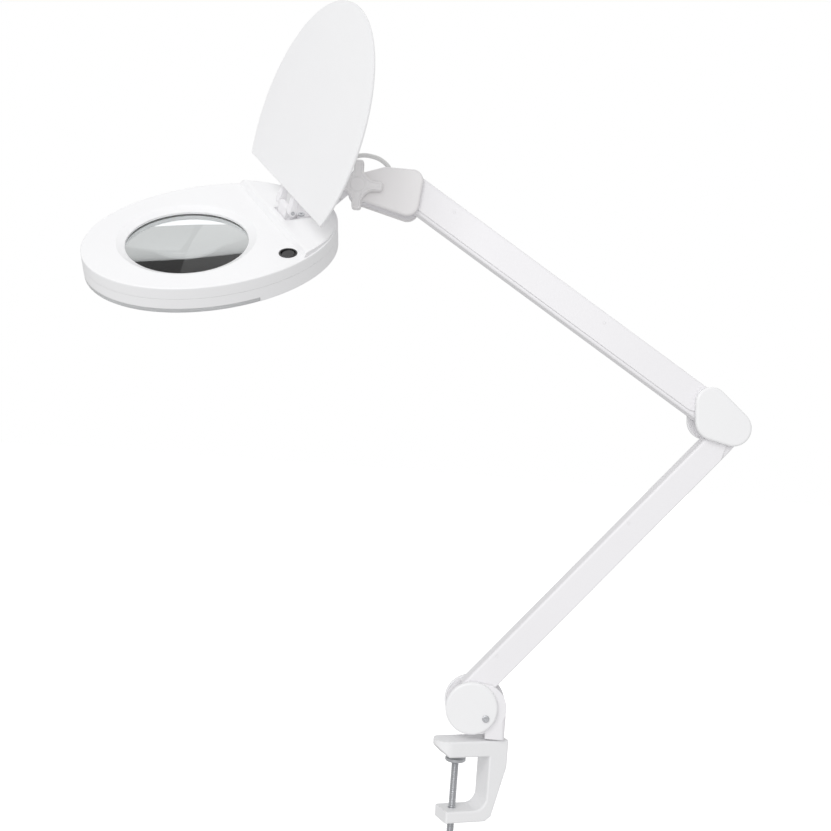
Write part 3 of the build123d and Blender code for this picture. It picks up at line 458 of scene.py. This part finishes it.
# Each spring is a close coil with a round hook at each end, drawn in its arm's own plane: x from
# pin to pin, y up and z across the arm. The pins' places are along the arm from its first pivot.
# HOOK_OPEN is the angle at which the hook's round wire starts and, from the other side, ends.
ANCHOR_NEAR, ANCHOR_FAR, SPRING_LINE, SPRING_OFFSET = 0.062, 0.262, 0.003, 0.006
WIRE_R, COIL_R, HOOK_R, COIL_START, COIL_TURNS = 0.0008, 0.0027, 0.00235, 0.0132, 95.5
COIL_STEPS, SHANK_FROM, SHANK_LOW, SHANK_END, RAMP = 14, 0.0036, 0.0002, 0.0022, 0.0018
HOOK_OPEN = 35


def spring_path():
    """One spring's wire, about its own middle: hook, coil, and the same hook turned half round."""
    half = (ANCHOR_FAR - ANCHOR_NEAR) / 2
    bend = np.radians(np.linspace(HOOK_OPEN, 360 - HOOK_OPEN, 22))
    loop = np.stack((HOOK_R * np.cos(bend), HOOK_R * np.sin(bend), 0 * bend), 1)
    shank = np.linspace((SHANK_FROM, -SHANK_LOW, 0), (COIL_START - SHANK_END, 0, 0), 8)
    grow = np.linspace(0, 1, 10)[1:-1]
    ramp = np.pi * (grow - 1)
    swell = COIL_R * grow**2 * (3 - 2 * grow)
    lead = np.stack(
        (COIL_START - RAMP * (1 - grow), swell * np.cos(ramp), swell * np.sin(ramp)), 1
    )
    hook = np.concatenate((loop, shank, lead)) - (half, 0, 0)
    wound = np.linspace(0, COIL_TURNS, int(COIL_TURNS * COIL_STEPS))
    reach = half - COIL_START
    coil = np.stack(
        (
            -reach + 2 * reach * wound / COIL_TURNS,
            COIL_R * np.cos(2 * np.pi * wound),
            COIL_R * np.sin(2 * np.pi * wound),
        ),
        1,
    )
    return np.concatenate((hook, coil, hook[::-1] * (-1, -1, 1)))


for arm, start, end in (
    ("lower", "lower_arm_lift", "elbow_lower_turn"),
    ("upper", "wrist_turn", "upper_arm_lower"),
):
    first, last = np.array(joints[start]["pos_m"]), np.array(joints[end]["pos_m"])
    across, along = np.array(joints[start]["axis"]), unit(last - first)
    up = np.cross(across, along)
    middle = first + along * (ANCHOR_NEAR + ANCHOR_FAR) / 2 + up * SPRING_LINE
    path = middle + spring_path() @ np.array((along, up, across))
    pair = [path + side * SPRING_OFFSET * across for side in (1, -1)]
    coils = merged(*[tube(f"{arm}_coils", wire, WIRE_R) for wire in pair])
    coils.name = f"{arm}_coils"
    finish_mesh(coils, spring_steel)
    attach(coils, f"{arm}_arm")
    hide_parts(f"{arm}_springs")

# The clamp's screw, on the z axis: a plain tip, a trapezoidal thread of 2 mm pitch, and a round hub.
SCREW_TOP, THREAD_TOP, HUB_TOP, HUB_FOOT = -0.0054, -0.0078, -0.1025, -0.1185
TIP_R, ROOT_R, CREST_R, HUB_R = 0.00295, 0.0032, 0.00395, 0.0070
TIP_ROUND, HUB_ROUND, THREAD_PITCH, THREAD_STEPS = 0.0003, 0.0015, 0.0020, 12
ROOT_SHARE, FLANK_SHARE = 0.2, 0.6  # of half a pitch; the rest is crest
turn = circle(48)
rows = int((THREAD_TOP - HUB_TOP) / THREAD_PITCH * THREAD_STEPS)
threads = np.linspace(THREAD_TOP, HUB_TOP, rows)[:, None]
flank = (threads / THREAD_PITCH - turn / (2 * np.pi)) % 1
flank = np.clip((1 - abs(2 * flank - 1) - ROOT_SHARE) / FLANK_SHARE, 0, 1)
fade = np.clip((THREAD_TOP - threads) / THREAD_PITCH, 0, 1)
bend = np.radians(np.linspace(0, 90, 6))
corner_r = HUB_R - HUB_ROUND * (1 - np.sin(bend))
corner_z = HUB_ROUND * (1 - np.cos(bend))
even = np.ones_like(turn)
hub_r = np.concatenate(([ROOT_R], corner_r, corner_r[::-1], [0]))
hub_z = np.concatenate(([HUB_TOP], HUB_TOP - corner_z, HUB_FOOT + corner_z[::-1], [HUB_FOOT]))
radius = np.concatenate(
    (
        np.array([0, TIP_R - TIP_ROUND, TIP_R, TIP_R])[:, None] * even,
        TIP_R + (ROOT_R - TIP_R + (CREST_R - ROOT_R) * flank) * fade,
        hub_r[:, None] * even,
    )
)
height = np.concatenate(
    ([SCREW_TOP, SCREW_TOP, SCREW_TOP - TIP_ROUND, THREAD_TOP], threads[:, 0], hub_z)
)[:, None]
screw_points = (radius * np.cos(turn), radius * np.sin(turn), height + 0 * turn)
threaded = surface("threaded_screw", np.stack(screw_points, -1))
finish_mesh(threaded, zinc)
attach(threaded, "screw")
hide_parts("clamp_screw")


# --- moulded covers and housing ------------------------------------------------------------------
# Injection-moulded white plastic with a fine spark-eroded grain: base discs, elbow covers, the two
# halves of the head and the lid. The wrist shells and knob are a light grey of the same kind, the
# switch, the lens retainer and the flex's ends are black, and the washers and the bush are nylon.
white_moulding = coated(
    "white_moulding",
    (0.92, 0.92, 0.93),
    (0.89, 0.89, 0.90),
    0.33,
    grain_scale=2300.0,
    grain_depth=0.00006,
    smudge=0.14,
    # Lighter edges: a painted highlight.
    painted_edge_shading=(0.95, 0.95, 0.95),
)
grey_moulding = coated(
    "grey_moulding",
    (0.86, 0.845, 0.85),
    (0.80, 0.785, 0.79),
    0.42,
    grain_scale=1900.0,
    grain_depth=0.00008,
    smudge=0.12,
    # Darker edges: painted shade.
    painted_edge_shading=(0.82, 0.82, 0.82),
)
black_moulding = coated(
    "black_moulding", (0.012, 0.012, 0.013), (0.02, 0.02, 0.02), 0.24, 2300.0, 0.00004, 0.2
)
nylon = coated("nylon", (0.78, 0.77, 0.72), (0.72, 0.71, 0.66), 0.45, 1500.0, 0.00006)
jacket = coated("flex_jacket", (0.80, 0.80, 0.79), (0.74, 0.74, 0.73), 0.5, 1300.0, 0.00010)
paint(
    white_moulding,
    "base_disc_near",
    "base_disc_far",
    "elbow_cover_near",
    "elbow_cover_far",
    "top_housing",
    "bottom_housing",
    "lid_panel",
)
paint(grey_moulding, "wrist_shell_near", "wrist_shell_far")
paint(black_moulding, "switch_body", "switch_rocker", "lens_retainer", "flex_gland", "flex_boss")
paint(nylon, "post_bush", "swivel_washer", "neck_washer")
paint(jacket, "head_flex")


# The knob has four arms with a raised rim and a shallow floor, hollows of a large radius between
# them, and a round boss in the middle. It is drawn about the tilt axis, in millimetres.
KNOB_LONG, KNOB_HALF, HOLLOW, CORNER = 26.0, 5.0, 13.0, 3.0
KNOB_BACK, KNOB_DEEP, BEVEL, BOLT_HOLE, BOLT_DEEP = 25.0, 11.0, 1.6, 4.05, 6.05
BACK_ROUND, RIM, RIM_SLOPE, FLOOR_DROP, BOSS_R = 0.5, 2.2, 0.8, 0.8, 8.0
quarter = np.radians(np.linspace(0, 90, 12))
corner = np.stack(
    (
        KNOB_LONG - CORNER + CORNER * np.cos(quarter),
        KNOB_HALF - CORNER + CORNER * np.sin(quarter),
    ),
    1,
)
waist = KNOB_HALF + HOLLOW
hollow = np.stack((waist - HOLLOW * np.sin(quarter), waist - HOLLOW * np.cos(quarter)), 1)
quadrant = np.concatenate(([[KNOB_LONG, 0]], corner, hollow, corner[::-1, ::-1]))
turns = ((1, 0), (0, 1), (-1, 0), (0, -1))
outline = np.concatenate([quadrant @ np.array(((c, s), (-s, c))) for c, s in turns])
bearing = np.arctan2(outline[:, 1], outline[:, 0]) % (2 * np.pi)
order = np.argsort(bearing)
turn = circle(240)
edge_r = np.interp(turn, bearing[order], np.hypot(*outline[order].T), period=2 * np.pi)
shrink = np.linspace(1, 0, 40)[:, None]
top_x, top_y = shrink * edge_r * np.cos(turn), shrink * edge_r * np.sin(turn)
rim = np.stack((edge_r * np.cos(turn), edge_r * np.sin(turn)), 1)
inside = np.hypot(top_x[..., None] - rim[:, 0], top_y[..., None] - rim[:, 1]).min(-1)
lift = BEVEL * (np.sqrt(np.clip(1 - (1 - inside / BEVEL).clip(0, 1) ** 2, 0, 1)) - 1)
sunk = np.clip((inside - RIM) / RIM_SLOPE, 0, 1)
boss = np.clip((BOSS_R - np.hypot(top_x, top_y)) / RIM_SLOPE, 0, 1)
top_z = KNOB_DEEP + lift - FLOOR_DROP * sunk * (1 - boss)
bore_r = BOLT_HOLE + 0 * turn
back_r = np.stack((0 * turn, bore_r, bore_r, edge_r - BACK_ROUND, edge_r))
back_z = np.array((BOLT_DEEP, BOLT_DEEP, 0, 0, BACK_ROUND))[:, None] + 0 * turn
knob_x = np.concatenate((back_r * np.cos(turn), top_x))[..., None]
knob_y = np.concatenate((back_r * np.sin(turn), top_y))[..., None]
knob_z = np.concatenate((back_z, top_z))[..., None]
knob_axis = np.array(joints["knob_turn"]["axis"])
knob_points = np.array(joints["knob_turn"]["pos_m"]) + 0.001 * (
    knob_x * np.cross((0, 0, 1), knob_axis) + knob_y * (0, 0, 1) + (KNOB_BACK + knob_z) * knob_axis
)
lobed_knob = surface("lobed_knob", knob_points)
finish_mesh(lobed_knob, grey_moulding)
lobed_knob.data.set_sharp_from_angle(angle=radians(35))
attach(lobed_knob, "knob")
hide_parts("tilt_knob")


# --- lens ----------------------------------------------------------------------------------------
# A biconvex glass disc of 127 mm clear diameter, with faint smears on it, under the bezel's lip.
hinge_axis = unit(np.array(joints["lid_hinge"]["axis"]))  # across the head, to the far side
mesh_points = np.empty(len(nodes["lens"].data.vertices) * 3)
nodes["lens"].data.vertices.foreach_get("co", mesh_points)
mesh_points = mesh_points.reshape(-1, 3)
lens_centre = (mesh_points.min(0) + mesh_points.max(0)) / 2
spread = np.linalg.svd(mesh_points - mesh_points.mean(0), full_matrices=False)[2]
lens_up = spread[2] * np.sign(spread[2][2])
lens_back = unit(np.cross(hinge_axis, lens_up))


def head_point(x, y, z):
    """A point given along the head: x to the wrist, y to the far side, z up from the lens's middle."""
    x, y, z = np.broadcast_arrays(x, y, z)
    return (
        lens_centre
        + x[..., None] * lens_back
        + y[..., None] * hinge_axis
        + z[..., None] * lens_up
    )


LENS_RADIUS, LENS_EDGE, LENS_BULGE = 0.0656, 0.0020, 0.0050  # the edge's height is from the middle
LENS_SMEAR_SCALE, LENS_SMEAR_FROM, LENS_SMEAR_MATT = 45.0, 0.52, 0.10


def lens_profile(count):
    """Half of the lens's section as (radius, height): upper face, rim and lower face. Each face is
    an arc, so its height falls off as the square of the radius."""
    radius = LENS_RADIUS * np.sin(np.linspace(0, np.pi / 2, count))
    height = LENS_EDGE + LENS_BULGE * (1 - (radius / LENS_RADIUS) ** 2)
    return np.concatenate((radius, radius[::-1])), np.concatenate((height, -height[::-1]))


radius, height = lens_profile(24)
radius, height, turn = radius[:, None], height[:, None], circle(96)
lens_glass = surface(
    "lens_glass", head_point(radius * np.cos(turn), radius * np.sin(turn), height + 0 * turn)
)
glass, tree, shader = plain_material("ground_glass", (0.93, 0.96, 0.96), 0.0)
shader.inputs["Transmission Weight"].default_value = 1.0
shader.inputs["IOR"].default_value = 1.52
where = tree.nodes.new("ShaderNodeTexCoord").outputs["Object"]
smears = noise(tree, where, LENS_SMEAR_SCALE, 6.0)
smears = maths(tree, "SUBTRACT", smears, LENS_SMEAR_FROM, clamp=True)
tree.links.new(maths(tree, "MULTIPLY", smears, LENS_SMEAR_MATT), shader.inputs["Roughness"])
finish_mesh(lens_glass, glass)
edges = lens_glass.modifiers.new("rim", "BEVEL")
edges.width, edges.segments, edges.limit_method = 0.0004, 2, "ANGLE"
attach(lens_glass, "head")
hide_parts("lens")


# --- light unit ----------------------------------------------------------------------------------
# A frosted acrylic tray under a curved board of small diodes, with a black driver box behind.
FROST_SCALE, FROST_GAIN, FROST_BASE, SMOKE_SCALE = 1700.0, 0.25, 0.25, 30.0
frosted, tree, shader = plain_material("frosted_acrylic", (0.76, 0.77, 0.78), 0.28)
shader.inputs["Transmission Weight"].default_value = 0.35
shader.inputs["IOR"].default_value = 1.49
where = tree.nodes.new("ShaderNodeTexCoord").outputs["Object"]
frost = noise(tree, where, FROST_SCALE, 2.0)
frost = maths(tree, "MULTIPLY_ADD", frost, FROST_GAIN, FROST_BASE)
tree.links.new(frost, shader.inputs["Roughness"])
tree.links.new(
    blend_colour(tree, noise(tree, where, SMOKE_SCALE), (0.80, 0.81, 0.82), (0.70, 0.71, 0.72)),
    shader.inputs["Base Color"],
)
paint(frosted, "diffuser")

board = coated("solder_mask", (0.74, 0.76, 0.73), (0.66, 0.69, 0.65), 0.3, 900.0, 0.00004)
phosphor = coated("diode_phosphor", (0.85, 0.72, 0.25), (0.78, 0.64, 0.18), 0.3, 1800.0, 0.00005)
driver_case = coated("driver_case", (0.05, 0.05, 0.05), (0.03, 0.03, 0.03), 0.5, 1200.0, 0.00010)
paint(board, "led_board")
paint(phosphor, "leds")
paint(driver_case, "led_driver")
